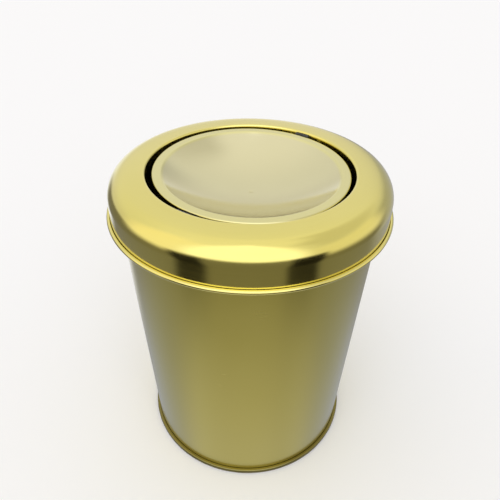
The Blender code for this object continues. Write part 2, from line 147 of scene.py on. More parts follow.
LID_TOP = lid_high.z
LID_R = lid_high.x - 2 * HEM_R + SHEET
SKIRT_END = lid_low.z + HEM_R
HOLE_R = LID_R - LID_BAND
FLAP_TOP = LID_TOP - FLAP_DROP
FLAP_R = (flap_high.x - flap_low.x) / 2
FLAP_PLAY = (flap_high.x + flap_low.x) / 2
DISH_R = FLAP_R - DISH_MARGIN
DISH_SPHERE_R = (DISH_R**2 + DISH_DEPTH**2) / (2 * DISH_DEPTH)
DISH_CENTRE_Z = FLAP_TOP - HALF_SHEET - DISH_DEPTH + DISH_SPHERE_R
STRAP_REACH = (strap_high.x - strap_low.x) / 2 - STRAP_GAUGE / 2
PIVOT_Z = swing["pos_m"][2] / MM
SEAM_R = base_high.x
FOOT_WALL_R = SEAM_R - SEAM_LAP


# ---------------------------------------------------------------- outlines

def arc(centre, radius, start, end, steps):
    """Points on an arc in the radius-height plane, angles in degrees, both ends included."""
    angles = [math.radians(start + (end - start) * i / steps) for i in range(steps + 1)]
    return [(centre[0] + radius * math.cos(a), centre[1] + radius * math.sin(a)) for a in angles]


def supported(line, near=0.35, longest=7.0):
    """The line with extra points near the ends of its straight stretches, which keep the bends crisp."""
    result = [line[0]]
    for start, end in zip(line, line[1:]):
        a, b = Vector(start), Vector(end)
        length = (b - a).length
        if length > 4 * near:
            inner_a = a + (b - a) * (near / length)
            inner_b = b - (b - a) * (near / length)
            steps = max(1, math.ceil((length - 2 * near) / longest))
            result += [tuple(inner_a.lerp(inner_b, i / steps)) for i in range(steps + 1)]
        result.append(end)
    return result


def sheet_outline(line, gauge, on_axis=False):
    """Outline of a sheet with this middle line, as (radius, height, along, wear) points.

    Along is the distance along the sheet. Wear grows with the curvature on the outside of a bend.
    """
    points = [Vector(p) for p in line]
    left, right = [], []
    along = 0.0
    for i, point in enumerate(points):
        before = (point - points[i - 1]) if i else (points[1] - point)
        after = (points[i + 1] - point) if i + 1 < len(points) else before
        along += before.length if i else 0.0
        bend = before.angle_signed(after) / ((before.length + after.length) / 2)
        forward = (before.normalized() + after.normalized()).normalized()
        stretch = 1.0 / max(forward.dot(after.normalized()), 0.5)
        side = Vector((-forward.y, forward.x)) * (gauge / 2 * stretch)
        left.append((*(point + side), along, min(1.0, max(0.0, bend))))
        right.append((*(point - side), along, min(1.0, max(0.0, -bend))))
    if on_axis:
        left[0] = (0.0, *left[0][1:])
        right[0] = (0.0, *right[0][1:])
    return left + right[::-1]


def plain_outline(points):
    """An outline with its distance along it and no wear."""
    result, along = [], 0.0
    for i, point in enumerate(points):
        along += (Vector(point) - Vector(points[i - 1])).length if i else 0.0
        result.append((*point, along, 0.0))
    return result


# ---------------------------------------------------------------- meshes

def hand_over(piece, body, replaced):
    """Puts the finished piece on its body, in place of this CAD node."""
    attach(piece, body)
    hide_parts(replaced)
    return piece


def mesh_object(name, builder, material):
    """Object with closed, smooth-shaded mesh, from one built in millimetres."""
    bmesh.ops.recalc_face_normals(builder, faces=builder.faces)
    if builder.calc_volume(signed=True) < 0:
        bmesh.ops.reverse_faces(builder, faces=builder.faces)
    builder.transform(Matrix.Scale(MM, 4))
    mesh = bpy.data.meshes.new(name)
    builder.to_mesh(mesh)
    builder.free()
    mesh.shade_smooth()
    mesh.set_sharp_from_angle(angle=SHARP_FROM)
    mesh.materials.append(material)
    piece = bpy.data.objects.new(name, mesh)
    bpy.context.scene.collection.objects.link(piece)
    return piece


def turned(outline, around=AROUND_SHELL, closed=True, extra_angles=()):
    """Solid of revolution about Z, which keeps each point's distance along the sheet and its wear."""
    builder = bmesh.new()
    along_layer = builder.verts.layers.float.new("along")
    wear_layer = builder.verts.layers.float.new("wear")
    angles = sorted([2 * math.pi * i / around for i in range(around)] + list(extra_angles))
    columns = []
    for radius, height, along, wear in outline:
        turns = angles if radius > 1e-6 else angles[:1]
        column = []
        for angle in turns:
            vert = builder.verts.new((radius * math.cos(angle), radius * math.sin(angle), height))
            vert[along_layer] = along
            vert[wear_layer] = wear
            column.append(vert)
        columns.append(column * len(angles) if len(column) == 1 else column)
    rows = list(zip(columns, columns[1:] + columns[:1])) if closed else list(zip(columns, columns[1:]))
    count = len(angles)
    for low, high in rows:
        for i in range(count):
            j = (i + 1) % count
            corners = dict.fromkeys([low[i], low[j], high[j], high[i]])
            if len(corners) > 2:
                builder.faces.new(list(corners))
    return builder


def slab(outline, depth):
    """Flat outline in the XZ plane, extruded to both sides of it along Y."""
    builder = bmesh.new()
    face = builder.faces.new([builder.verts.new((x, -depth / 2, z)) for x, z in outline])
    grown = bmesh.ops.extrude_face_region(builder, geom=[face])
    moved = [v for v in grown["geom"] if isinstance(v, bmesh.types.BMVert)]
    bmesh.ops.translate(builder, verts=moved, vec=(0, depth, 0))
    return builder


def strip(outline, depth, steps):
    """A long thin outline in the XZ plane, given as two rows of points, made of quads across its depth."""
    builder = bmesh.new()
    half = len(outline) // 2
    top, bottom = outline[:half], outline[half:][::-1]
    ys = [depth * (i / steps - 0.5) for i in range(steps + 1)]
    grid = {
        (k, i, j): builder.verts.new((row[i][0], y, row[i][1]))
        for k, row in enumerate((top, bottom))
        for i in range(half)
        for j, y in enumerate(ys)
    }
    for k in (0, 1):
        for i in range(half - 1):
            for j in range(steps):
                cells = ((i, j), (i + 1, j), (i + 1, j + 1), (i, j + 1))
                builder.faces.new([grid[k, a, b] for a, b in cells])
    rim = [(i, 0) for i in range(half)] + [(half - 1, j) for j in range(1, steps + 1)]
    rim += [(i, steps) for i in range(half - 2, -1, -1)] + [(0, j) for j in range(steps - 1, 0, -1)]
    for a, b in zip(rim, rim[1:] + rim[:1]):
        builder.faces.new([grid[0, *a], grid[0, *b], grid[1, *b], grid[1, *a]])
    return builder


def round_edges(builder, radius):
    """Rounds every edge that turns by more than 60 degrees."""
    bmesh.ops.recalc_face_normals(builder, faces=builder.faces)
    limit = math.radians(60.0)
    edges = [e for e in builder.edges if e.is_manifold and e.calc_face_angle(0) > limit]
    bmesh.ops.bevel(
        builder, geom=edges, offset=radius, segments=3, profile=0.5, affect="EDGES", clamp_overlap=True
    )
    return builder


def along_x(builder, side):
    """Turns a piece that was made about Z so that it lies on the pivot axis, towards +X or -X."""
    builder.transform(Matrix.Translation((0, 0, PIVOT_Z)) @ Matrix.Rotation(side * math.pi / 2, 4, "Y"))
    return builder


def across_x(builder, reach):
    """Turns a slab that was made in the XZ plane so that it stands across the pivot axis, this far out."""
    builder.transform(Matrix.Translation((reach, 0, PIVOT_Z)) @ Matrix.Rotation(math.pi / 2, 4, "Z"))
    return builder


def place_flap(builder):
    """Brings a piece of the flap from the level, centred place it is drawn in to where the flap hangs."""
    tilt = Matrix.Translation((FLAP_PLAY, 0, PIVOT_Z)) @ Matrix.Rotation(FLAP_TILT, 4, "X")
    builder.transform(tilt @ Matrix.Translation((0, 0, -PIVOT_Z)))
    return builder


def rod(radius, start, end):
    points = [(0, start), (radius, start), (radius, end), (0, end)]
    return turned(plain_outline(points), AROUND_PIN, closed=False)


def apply_cut(piece, tools, operation="DIFFERENCE"):
    """Applies Booleans with these helper meshes, so that only the finished mesh is left."""
    for index, tool_mesh in enumerate(tools):
        tool = mesh_object(f"tool_{piece.name}_{index}", tool_mesh, piece.data.materials[0])
        step = piece.modifiers.new("cut", "BOOLEAN")
        step.operation = operation
        step.solver = "EXACT"
        step.object = tool
    bpy.context.view_layer.update()
    depsgraph = bpy.context.evaluated_depsgraph_get()
    finished = bpy.data.meshes.new_from_object(piece.evaluated_get(depsgraph))
    for step in list(piece.modifiers):
        tool = step.object
        piece.modifiers.remove(step)
        bpy.data.objects.remove(tool, do_unlink=True)
    old = piece.data
    piece.data = finished
    bpy.data.meshes.remove(old)
    finished.name = piece.name
    return piece


def drill_tool(radius, start, end, turn):
    """A cutter that runs radially from start to end at the pivot's height, turned about Z."""
    cutter = along_x(rod(radius, start, end), 1)
    cutter.transform(Matrix.Rotation(turn, 4, "Z"))
    return cutter


def mount_holes(start, end, turn):
    """Cutters for a bush and its two rivets, through collar or plate."""
    tools = [drill_tool(BUSH_HOLE_R, start, end, turn)]
    for sign in (-1, 1):
        tools.append(drill_tool(RIVET_R + GAP / 2, start, end, turn + sign * RIVET_ANGLE))
    return tools


def pin_holes(reach):
    """Cutters for both pins, through the part of the flap that is this far out from its middle."""
    tools = []
    for half_turn, play in ((0.0, FLAP_PLAY), (math.pi, -FLAP_PLAY)):
        start, end = reach - DRILL_MARGIN + play, reach + DRILL_MARGIN + play
        tools.append(drill_tool(PIN_HOLE_R, start, end, half_turn))
    return tools


def weighted(piece):
    """Normals that follow the large faces, so that flats stay flat beside their bends."""
    step = piece.modifiers.new("weighted_normals", "WEIGHTED_NORMAL")
    step.keep_sharp = True
    return piece


# ---------------------------------------------------------------- the sheet-metal lines

def wall_radius(height):
    return FOOT_WALL_R - HALF_SHEET + WALL_TAPER * (height - SEAM_HEIGHT)


def lid_arcs():
    """Centre, radius and slopes of the tangent arcs of the lid's outside, from its hole to its skirt."""
    arcs = []
    reach, height, slope = HOLE_R + HOLE_BEND, LID_TOP, 0.0
    for bend, end_slope in CROWN_ARCS:
        start, end = math.radians(slope), math.radians(end_slope)
        centre = (reach - bend * math.sin(start), height - bend * math.cos(start))
        arcs.append((centre, bend, slope, end_slope))
        reach = centre[0] + bend * math.sin(end)
        height = centre[1] + bend * math.cos(end)
        slope = end_slope
    start = math.radians(slope)
    bend = (LID_R - reach) / (1 - math.sin(start))
    arcs.append(((LID_R - bend, height - bend * math.cos(start)), bend, slope, 90.0))
    return arcs


def rim_centre():
    """Centre of the rolled rim: tangent to the wall, and just touching the inside of the lid's shoulder."""
    shoulder_centre, shoulder_r, _, _ = lid_arcs()[-1]
    lean = math.atan(WALL_TAPER)
    middle_r = RIM_CURL_R - HALF_SHEET
    reach = shoulder_r - SHEET - RIM_CURL_R - GAP
    height = shoulder_centre[1]
    for _ in range(20):
        radius = wall_radius(height + middle_r * math.sin(lean)) + middle_r * math.cos(lean)
        height = shoulder_centre[1] + math.sqrt(reach**2 - (radius - shoulder_centre[0]) ** 2)
    return radius, height, math.degrees(lean)


def body_line():
    rim_r, rim_z, lean = rim_centre()
    hook_z = SHEET + HOOK_CLEARANCE + HALF_SHEET
    foot_r = wall_radius(hook_z + HOOK_BEND)
    line = [(foot_r + HOOK_BEND + HOOK_LENGTH, hook_z)]
    line += arc((foot_r + HOOK_BEND, hook_z + HOOK_BEND), HOOK_BEND, 270, 180, 6)
    line += arc((rim_r, rim_z), RIM_CURL_R - HALF_SHEET, 180 - lean, -128, 28)
    return line


def base_line():
    bend = PANEL_BEND
    chuck_r = wall_radius(0) - SHEET - GAP
    outer_r = SEAM_R - HALF_SHEET
    lip_z = SEAM_HEIGHT - HALF_SHEET
    ring_z = PANEL_HEIGHT + PANEL_RING_HEIGHT
    line = [(0.0, PANEL_HEIGHT)] + list(zip(PANEL_RING, (PANEL_HEIGHT, ring_z, ring_z, PANEL_HEIGHT)))
    line += arc((chuck_r - bend, PANEL_HEIGHT - bend), bend, 90, 0, 6)
    line += arc((chuck_r + bend, HALF_SHEET + bend), bend, 180, 270, 6)
    line += arc((outer_r - bend, HALF_SHEET + bend), bend, 270, 360, 8)
    line += arc((outer_r - bend, lip_z - bend), bend, 0, 90, 8)
    line += [(wall_radius(SEAM_HEIGHT) + HALF_SHEET + GAP, lip_z)]
    return line


def lid_line():
    hem_middle = HEM_R - HALF_SHEET
    bend_middle = HOLE_BEND - HALF_SHEET
    curl_middle = COLLAR_CURL_R - HALF_SHEET
    collar_r = HOLE_R + HALF_SHEET
    line = arc((LID_R - HALF_SHEET + hem_middle, SKIRT_END), hem_middle, 115, -180, 26)
    for (centre, bend, inner_slope, outer_slope), steps in zip(lid_arcs()[::-1], (28, 6, 4)):
        outer_line = arc(centre, bend - HALF_SHEET, 90 - outer_slope, 90 - inner_slope, steps)
        line += outer_line if outer_slope == 90 else outer_line[1:]
    line += arc((collar_r + bend_middle, LID_TOP - HOLE_BEND), bend_middle, 90, 180, 10)[1:]
    line += arc((collar_r + curl_middle, LID_TOP - COLLAR_DEPTH + COLLAR_CURL_R), curl_middle, 180, 360, 10)
    return line


def dish_line():
    rim_z = FLAP_TOP - HALF_SHEET
    fillet_z = rim_z - RIM_FILLET
    centre_gap = DISH_SPHERE_R + RIM_FILLET
    fillet_r = math.sqrt(centre_gap**2 - (DISH_CENTRE_Z - fillet_z) ** 2)
    meeting = math.asin(fillet_r / centre_gap)
    mark = math.asin(WELD_MARK_R / DISH_SPHERE_R)
    middle = DISH_CENTRE_Z - DISH_SPHERE_R - WELD_MARK_DEPTH
    start, end = -90 + math.degrees(mark), -90 + math.degrees(meeting)
    bend_middle = FLAP_BEND - HALF_SHEET
    edge_r = FLAP_R - HALF_SHEET
    dip = [WELD_MARK_R * i / 6 for i in range(6)]
    line = [(r, middle + WELD_MARK_DEPTH * (0.5 - 0.5 * math.cos(math.pi * r / WELD_MARK_R))) for r in dip]
    line += arc((0.0, DISH_CENTRE_Z), DISH_SPHERE_R, start, end, 36)
    line += arc((fillet_r, fillet_z), RIM_FILLET, 90 + math.degrees(meeting), 90, 10)[1:]
    line += arc((edge_r - bend_middle, rim_z - bend_middle), bend_middle, 90, 0, 8)
    line += [(edge_r, FLAP_TOP - FLAP_EDGE_DEPTH)]
    return line


# ---------------------------------------------------------------- materials

class Nodes:
    """Short way to write a node tree."""

    def __init__(self, tree):
        self.tree = tree

    def add(self, kind, inputs=None, **settings):
        node = self.tree.nodes.new(kind)
        for key, value in settings.items():
            setattr(node, key, value)
        for key, value in (inputs or {}).items():
            self.put(node.inputs[key], value)
        return node

    def put(self, socket, value):
        if isinstance(value, bpy.types.NodeSocket):
            self.tree.links.new(value, socket)
        else:
            socket.default_value = value

    def math(self, operation, a, b=0.0, clamp=False):
        node = self.add("ShaderNodeMath", {0: a, 1: b}, operation=operation, use_clamp=clamp)
        return node.outputs[0]

    def scaled(self, value, factor, offset):
        node = self.add("ShaderNodeMath", {0: value, 1: factor, 2: offset}, operation="MULTIPLY_ADD")
        return node.outputs[0]

    def between(self, value, low, high):
        """Smooth step of value, from 0 at low to 1 at high."""
        inputs = {"Value": value, "From Min": low, "From Max": high}
        return self.add("ShaderNodeMapRange", inputs, interpolation_type="SMOOTHSTEP").outputs[0]

    def mix(self, factor, a, b):
        node = self.add("ShaderNodeMix", {0: factor, 6: a, 7: b}, data_type="RGBA")
        return node.outputs[2]

    def vector(self, operation, a, b=None, output=0):
        inputs = {0: a} if b is None else {0: a, 1: b}
        return self.add("ShaderNodeVectorMath", inputs, operation=operation).outputs[output]

    def noise(self, vector, scale, detail=3.0, roughness=0.5):
        inputs = {"Vector": vector, "Scale": scale, "Detail": detail, "Roughness": roughness}
        return self.add("ShaderNodeTexNoise", inputs).outputs["Fac"]


def rgba(colour):
    return (*colour, 1.0)


def new_material(name):
    """A material, its node tree and its shader."""
    material = bpy.data.materials.new(name)
    material.use_nodes = True
    return material, Nodes(material.node_tree), material.node_tree.nodes["Principled BSDF"]


def lacquered_gold(name, deep, pale, roughness, coat, streaks=1.0, rim=None):
    """Gold lacquer over steel brushed round its axis: hairlines, cloudy gloss, rubbed bends."""
    material, nodes, shader = new_material(name)
    place = nodes.add("ShaderNodeTexCoord").outputs["Object"]
    split = nodes.add("ShaderNodeSeparateXYZ", {0: place})
    flat = nodes.add("ShaderNodeCombineXYZ", {0: split.outputs[0], 1: split.outputs[1]}).outputs[0]
    round_way = nodes.add("ShaderNodeSeparateXYZ", {0: nodes.vector("NORMALIZE", flat)})
    along = nodes.add("ShaderNodeAttribute", attribute_name="along").outputs["Fac"]
    wear = nodes.add("ShaderNodeAttribute", attribute_name="wear").outputs["Fac"]
    around = [nodes.math("MULTIPLY", round_way.outputs[i], 1.6) for i in (0, 1)]
    grain_place = nodes.add("ShaderNodeCombineXYZ", {0: around[0], 1: around[1], 2: along}).outputs[0]
    fine = nodes.noise(nodes.vector("MULTIPLY", grain_place, (1.0, 1.0, 1.3)), 1.0, 3.0, 0.6)
    broad = nodes.noise(nodes.vector("MULTIPLY", grain_place, (0.8, 0.8, 0.45)), 1.0, 2.0)
    cloud = nodes.noise(place, 21.0, 3.0)

    tone = nodes.scaled(fine, 0.30 * streaks, 0.30 - 0.15 * streaks)
    tone = nodes.math("ADD", tone, nodes.math("MULTIPLY", cloud, 0.4))
    tone = nodes.math("ADD", tone, nodes.math("MULTIPLY", wear, 0.35), clamp=True)
    colour = nodes.mix(tone, rgba(deep), rgba(pale))
    if rim:
        start, end, rim_colour = rim
        colour = nodes.mix(nodes.between(along, start, end), colour, rgba(rim_colour))
    nodes.put(shader.inputs["Base Color"], colour)

    gloss = nodes.scaled(fine, 0.07 * streaks, roughness - 0.04 - 0.035 * streaks)
    gloss = nodes.math("ADD", gloss, nodes.math("MULTIPLY", cloud, 0.07))
    gloss = nodes.math("SUBTRACT", gloss, nodes.math("MULTIPLY", wear, 0.04))
    nodes.put(shader.inputs["Roughness"], gloss)

    height = nodes.math("ADD", fine, nodes.math("MULTIPLY", broad, 1.5))
    bump = nodes.add("ShaderNodeBump", {"Strength": 0.25 * streaks, "Distance": 0.00001, "Height": height})
    nodes.put(shader.inputs["Normal"], bump.outputs[0])
    tangent = nodes.add("ShaderNodeTangent", direction_type="RADIAL", axis="Z")
    nodes.put(shader.inputs["Tangent"], tangent.outputs[0])
    shader.inputs["Metallic"].default_value = 1.0
    shader.inputs["Anisotropic"].default_value = 0.55
    shader.inputs["Anisotropic Rotation"].default_value = 0.25
    shader.inputs["Coat Weight"].default_value = coat
    shader.inputs["Coat Roughness"].default_value = 0.8 * roughness
    return material


def zinc_plate():
    """Zinc-plated steel: faint spangle, dull patches and a fine grain."""
    material, nodes, shader = new_material("zinc_steel")
    place = nodes.add("ShaderNodeTexCoord").outputs["Object"]
    spangle = nodes.add("ShaderNodeTexVoronoi", {"Vector": place, "Scale": 420.0}).outputs["Color"]
    shade = nodes.add("ShaderNodeSeparateXYZ", {0: spangle}).outputs[0]
    cloud = nodes.noise(place, 60.0, 3.0)
    grain = nodes.noise(place, 2600.0, 3.0)
    tone = nodes.math("ADD", nodes.math("MULTIPLY", shade, 0.5), nodes.math("MULTIPLY", cloud, 0.5))
    nodes.put(shader.inputs["Base Color"], nodes.mix(tone, (0.50, 0.51, 0.52, 1), (0.72, 0.72, 0.70, 1)))
    gloss = nodes.math("ADD", nodes.math("MULTIPLY", cloud, 0.22), nodes.math("MULTIPLY", shade, 0.08))
    nodes.put(shader.inputs["Roughness"], nodes.math("ADD", gloss, 0.24))
    bump = nodes.add("ShaderNodeBump", {"Strength": 0.2, "Distance": 0.00002, "Height": grain})
    nodes.put(shader.inputs["Normal"], bump.outputs[0])
    shader.inputs["Metallic"].default_value = 1.0
    return material


def moulded_nylon():
    """Dark grey nylon with a fine spark-eroded skin."""
    material, nodes, shader = new_material("grey_nylon")
    place = nodes.add("ShaderNodeTexCoord").outputs["Object"]
    grain = nodes.noise(place, 3200.0, 3.0)
    cloud = nodes.noise(place, 150.0, 2.0)
    dark, light = (0.045, 0.045, 0.048, 1), (0.085, 0.085, 0.088, 1)
    nodes.put(shader.inputs["Base Color"], nodes.mix(cloud, dark, light))
    nodes.put(shader.inputs["Roughness"], nodes.scaled(grain, 0.18, 0.38))
    bump = nodes.add("ShaderNodeBump", {"Strength": 0.35, "Distance": 0.00002, "Height": grain})
    nodes.put(shader.inputs["Normal"], bump.outputs[0])
    return material


# ---------------------------------------------------------------- pieces of the bin

def make_body(material):
    """Tapered wall with a side lock seam, and the slight waviness of rolled sheet."""
    _, rim_z, _ = rim_centre()
    line = supported(body_line())
    half_angle = SIDE_SEAM_WIDTH / 2 / LID_R
    edges = (0.9, 1.0, 1.1, 1.3, 1.55)
    extra = [SIDE_SEAM_ANGLE + sign * half_angle * k for k in edges for sign in (-1, 1)]
    builder = turned(sheet_outline(line, SHEET), extra_angles=extra)
    seam_top = rim_z - SIDE_SEAM_BELOW_RIM
    for vert in builder.verts:
        radius, height = vert.co.xy.length, vert.co.z
        angle = math.atan2(vert.co.y, vert.co.x)
        free = smooth_step(height, *WAVE_FADE_LOW)
        free *= 1 - smooth_step(height, *(rim_z - depth for depth in WAVE_FADE_HIGH))
        spot = (WAVES_AROUND * math.cos(angle), WAVES_AROUND * math.sin(angle), height / WAVE_HEIGHT)
        radius += free * WAVE_DEPTH * noise.noise(spot)
        if vert.co.xy.length > wall_radius(height):
            across = abs(angle - SIDE_SEAM_ANGLE) / half_angle
            ends = smooth_step(height, SIDE_SEAM_LOW - SIDE_SEAM_RAMP, SIDE_SEAM_LOW)
            ends *= 1 - smooth_step(height, seam_top, seam_top + SIDE_SEAM_RAMP)
            radius += SIDE_SEAM_PROUD * ends * (1 - smooth_step(across, 0.95, 1.25))
        vert.co.xy *= radius / vert.co.xy.length
    return weighted(hand_over(mesh_object("bin_body", builder, material), "bin", "body_shell"))


def smooth_step(value, low, high):
    """Rises smoothly from 0 at low to 1 at high."""
    t = min(1.0, max(0.0, (value - low) / (high - low)))
    return t * t * (3 - 2 * t)


def make_rim_wire(material):
    rim_r, rim_z, _ = rim_centre()
    circle = arc((rim_r, rim_z), WIRE_R, 0, 345, 23)
    wire = mesh_object("bin_rim_wire", turned(plain_outline(circle)), material)
    return hand_over(wire, "bin", "rim_wire")


def make_base(material):
    outline = sheet_outline(supported(base_line()), SHEET, on_axis=True)
    base = mesh_object("bin_base", turned(outline, closed=False), material)
    return weighted(hand_over(base, "bin", "base_plate"))


def make_lid(material):
    builder = turned(sheet_outline(supported(lid_line()), SHEET))
    lid = mesh_object("lid_dome", builder, material)
    tools = []
    for half_turn in (0.0, math.pi):
        tools += mount_holes(HOLE_R - DRILL_MARGIN, HOLE_R + DRILL_MARGIN, half_turn)
    apply_cut(lid, tools)
    return weighted(hand_over(lid, "lid", "lid_ring"))


def make_dish(material):
    outline = sheet_outline(supported(dish_line()), SHEET, on_axis=True)
    dish = mesh_object("flap_dish_plate", place_flap(turned(outline, closed=False)), material)
    apply_cut(dish, pin_holes(FLAP_R))
    return weighted(hand_over(dish, "flap", "flap_dish"))


def make_strap(material):
    hug_r = DISH_SPHERE_R + HALF_SHEET + GAP + STRAP_GAUGE / 2
    corner = (STRAP_REACH - STRAP_BEND, PIVOT_Z - STRAP_CORNER_DROP)
    hug_end = -90 + math.degrees(math.asin(STRAP_HUG / hug_r))
    half = arc((0.0, DISH_CENTRE_Z), hug_r, -90, hug_end, 24)
    half += arc(corner, STRAP_BEND, 275, 360, 12)
    half += [(STRAP_REACH, FLAP_TOP - SHEET - STRAP_TIP_GAP)]
    half = supported(half)
    line = [(-x, z) for x, z in half[:0:-1]] + half
    outline = [point[:2] for point in sheet_outline(line, STRAP_GAUGE)]
    builder = round_edges(strip(outline, STRAP_WIDTH, 6), STRAP_EDGE_R)
    strap = mesh_object("flap_strap_bar", place_flap(builder), material)
    bottom = DISH_CENTRE_Z - hug_r
    weld_hole = place_flap(rod(WELD_HOLE_R, bottom - STRAP_GAUGE, bottom + STRAP_GAUGE))
    apply_cut(strap, [weld_hole] + pin_holes(STRAP_REACH))
    return weighted(hand_over(strap, "flap", "flap_strap"))


def rounded(outline, radius, steps=5):
    """Rounds the corners of an open outline in the radius-height plane, apart from its two ends."""
    result = [outline[0]]
    for before, corner, after in zip(outline, outline[1:], outline[2:]):
        b, c, a = Vector(before), Vector(corner), Vector(after)
        reach = min(radius, (c - b).length * 0.45, (a - c).length * 0.45)
        start, end = c + (b - c).normalized() * reach, c + (a - c).normalized() * reach
        for i in range(steps + 1):
            t = i / steps
            result.append(tuple(start.lerp(c, t).lerp(c.lerp(end, t), t)))
    return result + [outline[-1]]


def make_pin(side_name, side, material):
    """Headed pin with a groove for its clip."""
    low, high = box_mm(f"pivot_pin_{side_name}")
    inner, outer = sorted((abs(low.x - FLAP_PLAY), abs(high.x - FLAP_PLAY)))
    clip_low, clip_high = box_mm(f"pin_clip_{side_name}")
    clip_inner, clip_outer = sorted((abs(clip_low.x - FLAP_PLAY), abs(clip_high.x - FLAP_PLAY)))
    points = [
        (0.0, inner),
        (PIN_HEAD_R, inner),
        (PIN_HEAD_R, inner + PIN_HEAD_LENGTH),
        (PIN_R, inner + PIN_HEAD_LENGTH),
        (PIN_R, clip_inner - GAP),
        (PIN_GROOVE_R, clip_inner - GAP),
        (PIN_GROOVE_R, clip_outer + GAP),
        (PIN_R, clip_outer + GAP),
        (PIN_R, outer),
        (0.0, outer),
    ]
    outline = plain_outline(supported(rounded(points, PIN_EDGE_R)))
    builder = place_flap(along_x(turned(outline, AROUND_PIN, closed=False), side))
    pin = mesh_object(f"flap_pin_{side_name}", builder, material)
    return weighted(hand_over(pin, "flap", f"pivot_pin_{side_name}"))


def make_clip(side_name, material):
    """E-clip: a flat ring, open on one side, with rounded edges."""
    low, high = box_mm(f"pin_clip_{side_name}")
    radius, gauge = (high.y - low.y) / 2, high.x - low.x
    steps = 48
    sweep = 2 * math.pi - CLIP_OPENING
    angles = [math.pi / 2 + CLIP_OPENING / 2 + sweep * i / steps for i in range(steps + 1)]
    outline = [(radius * math.cos(a), radius * math.sin(a)) for a in angles]
    outline += [(CLIP_BORE_R * math.cos(a), CLIP_BORE_R * math.sin(a)) for a in reversed(angles)]
    builder = across_x(round_edges(slab(outline, gauge), CLIP_EDGE_R), (low.x + high.x) / 2)
    clip = mesh_object(f"flap_clip_{side_name}", builder, material)
    return hand_over(clip, "flap", f"pin_clip_{side_name}")


def rounded_rectangle(left, right, low, high, radius):
    corners = [(right, high, 0), (left, high, 90), (left, low, 180), (right, low, 270)]
    outline = []
    for x, z, start in corners:
        centre = (x - math.copysign(radius, x), z - math.copysign(radius, z))
        outline += arc(centre, radius, start, start + 90, 10)
    return outline


def make_bush(side_name, side, material):
    """Flange in the gap between collar and flap, barrel out through collar and plate, bored for the pin."""
    low, high = box_mm(f"pivot_bush_{side_name}")
    inner, outer = sorted((abs(low.x), abs(high.x)))
    flange_outline = rounded_rectangle(low.y, high.y, low.z - PIVOT_Z, high.z - PIVOT_Z, BUSH_CORNER_R)
    middle = inner + BUSH_FLANGE / 2
    flange = across_x(round_edges(slab(flange_outline, BUSH_FLANGE), BUSH_EDGE_R), side * middle)
    bush = mesh_object(f"lid_bush_{side_name}", flange, material)
    points = [(0, middle), (BUSH_BARREL_R, middle), (BUSH_BARREL_R, outer), (0, outer)]
    barrel = turned(plain_outline(rounded(points, BARREL_EDGE_R)), AROUND_PIN, closed=False)
    apply_cut(bush, [along_x(barrel, side)], "UNION")
    turn = 0.0 if side > 0 else math.pi
    apply_cut(bush, [drill_tool(BUSH_BORE_R, inner - DRILL_MARGIN, outer + DRILL_MARGIN, turn)])
    return weighted(hand_over(bush, "lid", f"pivot_bush_{side_name}"))


def make_plate(side_name, side, material):
    """Backing plate curved to the collar, with rounded edges, drilled for the bush and two rivets."""
    low, high = box_mm(f"pivot_plate_{side_name}")
    inner = HOLE_R + SHEET + GAP
    outer = inner + PLATE_GAUGE
    turn = 0.0 if side > 0 else math.pi
    builder = bmesh.new()
    steps = 32
    section = [(inner, low.z), (outer, low.z), (outer, high.z), (inner, high.z)]
    rows = []
    for i in range(steps + 1):
        angle = turn + PLATE_HALF_ANGLE * (2 * i / steps - 1)
        rows.append([builder.verts.new((r * math.cos(angle), r * math.sin(angle), z)) for r, z in section])
    for near, far in zip(rows, rows[1:]):
        for k in range(4):
            builder.faces.new([near[k], near[(k + 1) % 4], far[(k + 1) % 4], far[k]])
    builder.faces.new(rows[0])
    builder.faces.new(rows[-1])
    plate = mesh_object(f"lid_plate_{side_name}", round_edges(builder, PLATE_EDGE_R), material)
    apply_cut(plate, mount_holes(inner - DRILL_MARGIN, outer + DRILL_MARGIN, turn))
    return weighted(hand_over(plate, "lid", f"pivot_plate_{side_name}"))


def make_rivet(index, turn, material):
    """Domed head in the gap, shank through collar and plate, domed tail behind the plate."""
    head_face = HOLE_R - GAP
    tail_face = HOLE_R + SHEET + GAP + PLATE_GAUGE + GAP
    angles = [math.radians(a) for a in range(0, 91, 9)]
    dome = [(RIVET_HEAD_R * math.sin(a), RIVET_HEAD * math.cos(a)) for a in angles]
    points = [(r, head_face - h) for r, h in dome]
    points += [(RIVET_R, head_face), (RIVET_R, tail_face)]
    points += [(r, tail_face + h) for r, h in dome[::-1]]
    builder = along_x(turned(plain_outline(points), AROUND_PIN, closed=False), 1)
    builder.transform(Matrix.Rotation(turn, 4, "Z"))
    rivet = mesh_object(f"lid_rivet_{index}", builder, material)
    return hand_over(rivet, "lid", f"plate_rivet_{index}")


# ---------------------------------------------------------------- stage

VIEW_AZIMUTH = math.radians(-56.0)  # the pivot axis runs from front left to back right
VIEW_DISTANCE = 0.320
VIEW_HEIGHT = 0.4006
VIEW_PITCH = math.radians(33.04)
VIEW_ROLL = math.radians(0.87)
VIEW_SHIFT = -0.06
LENS = 36.6
AWAY = Vector((-math.sin(VIEW_AZIMUTH), math.cos(VIEW_AZIMUTH), 0.0))
RIGHT = Vector((AWAY.y, -AWAY.x, 0.0))
FLOOR_R = 6.0
FLOOR_GAP = 0.0002  # keeps the floor off the bin's foot

# Brightness of the studio by elevation, in degrees.
SWEEP = (
    (-90, (0.62, 0.61, 0.57)),
    (-66, (0.58, 0.57, 0.53)),
    (-57, (0.48, 0.465, 0.41)),
    (-48, (0.255, 0.245, 0.21)),
    (-40, (0.185, 0.175, 0.14)),
    (-4, (0.19, 0.18, 0.155)),
    (5, (0.72, 0.70, 0.66)),
    (30, (0.84, 0.83, 0.80)),
    (75, (0.97, 0.95, 0.92)),
)

